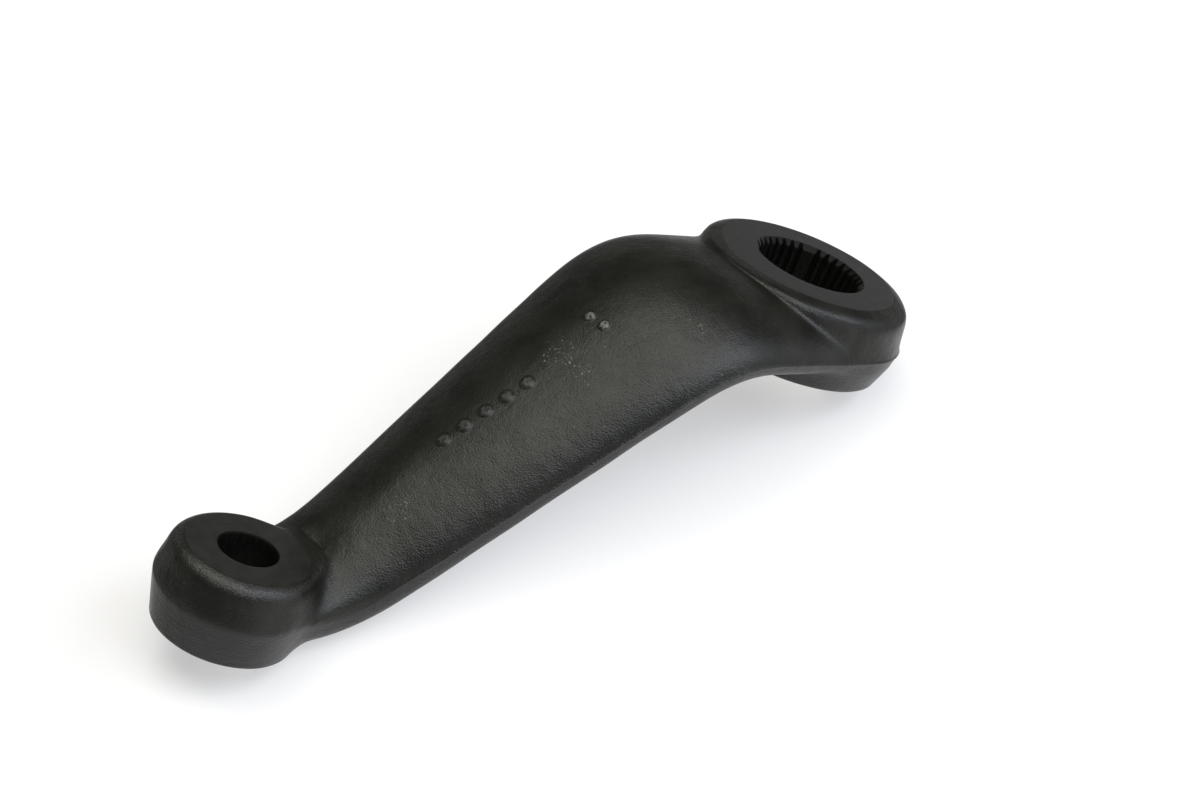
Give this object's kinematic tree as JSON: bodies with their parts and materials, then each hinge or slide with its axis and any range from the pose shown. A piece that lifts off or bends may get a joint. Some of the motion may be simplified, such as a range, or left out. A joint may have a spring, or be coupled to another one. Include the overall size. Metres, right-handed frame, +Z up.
{
  "type": "pitman arm",
  "caption": "Forged steel steering lever with a serrated tapered bore in its big eye and a tapered stud bore in its small eye.",
  "frame": {"origin": "middle of the footprint, on the floor that the lever lies on", "axes": "+X from the small eye to the big eye, +Z up; both bores lean towards +X in the XZ plane"},
  "size_m": [0.228, 0.0654, 0.054],
  "materials": {
    "forged_steel": "satin black over shot-blasted forged steel"
  },
  "bodies": {
    "root": {"pitman_arm": "forged_steel"}
  },
  "joints": []
}
